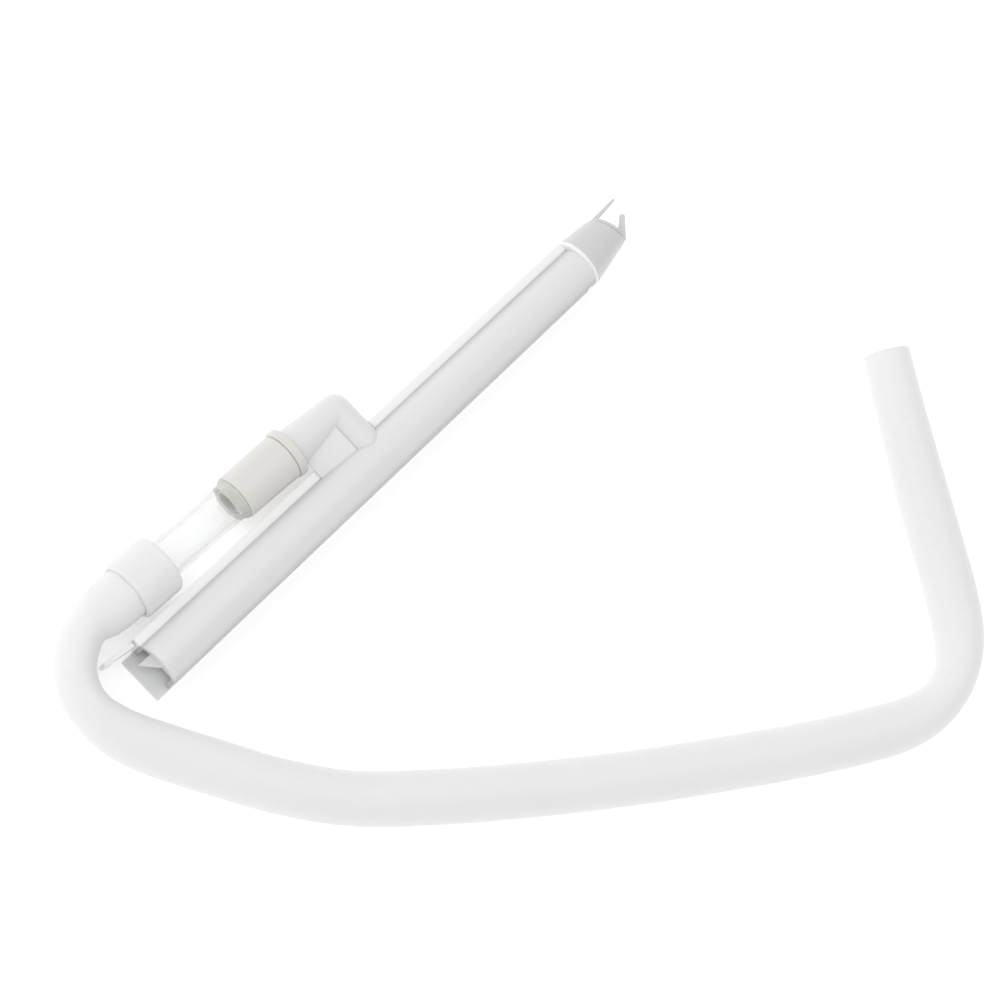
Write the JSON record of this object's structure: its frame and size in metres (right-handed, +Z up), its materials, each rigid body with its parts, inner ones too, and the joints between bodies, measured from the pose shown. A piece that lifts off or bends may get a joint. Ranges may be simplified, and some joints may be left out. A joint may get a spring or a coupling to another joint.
{
  "type": "suction handpiece with hose",
  "caption": "Slim dental suction handpiece on a flat plate, with a grey tapered nozzle, a side elbow, a swivelling clear connector and a flexible hose.",
  "frame": {"origin": "centre of the footprint of the handpiece without its hose, on the surface that it lies on", "axes": "+X along the barrel towards the nozzle, +Y to the side that the arm leaves from, +Z up from the flat plate"},
  "size_m": [0.2148, 0.1621, 0.0151],
  "materials": {
    "shell": "milky translucent moulded plastic, smooth",
    "rail": "light translucent moulded plastic, smooth",
    "white": "bright white, satin",
    "plate": "grey moulded plastic, satin",
    "prong": "light grey translucent plastic, smooth",
    "cone": "cool grey moulded plastic, smooth",
    "collar": "warm grey moulded plastic, smooth",
    "seal": "soft grey rubber",
    "clear": "clear, polished",
    "cuff": "frosted translucent, smooth",
    "hose": "soft translucent white tubing, faintly ribbed"
  },
  "bodies": {
    "handpiece": {"upper_shell": "shell", "base_plate": "plate", "side_rail": "rail", "rear_bulkhead": "white", "nose_gasket": "white", "nose_cone": "cone", "tip_guard": "prong", "side_elbow": "shell"},
    "tongue": {"rear_tongue": "rail"},
    "hose_set": {"retaining_ring": "collar", "swivel_collar": "collar", "swivel_seal": "seal", "connector_seal": "seal", "clear_connector": "clear", "hose_cuff": "cuff", "suction_hose": "hose"}
  },
  "joints": [
    {"name": "hose_swivel", "type": "hinge", "parent": "handpiece", "child": "hose_set", "pos_m": [-0.00333, 0.00543, 0.0076], "axis": [-0.9995, 0.0314, 0], "continuous": true},
    {"name": "tongue_flex", "type": "hinge", "parent": "handpiece", "child": "tongue", "pos_m": [-0.07533, -0.00202, 0.0046], "axis": [0, 0, 1], "range_deg": [0, 8], "stiffness_Nm_per_rad": 0.1}
  ]
}
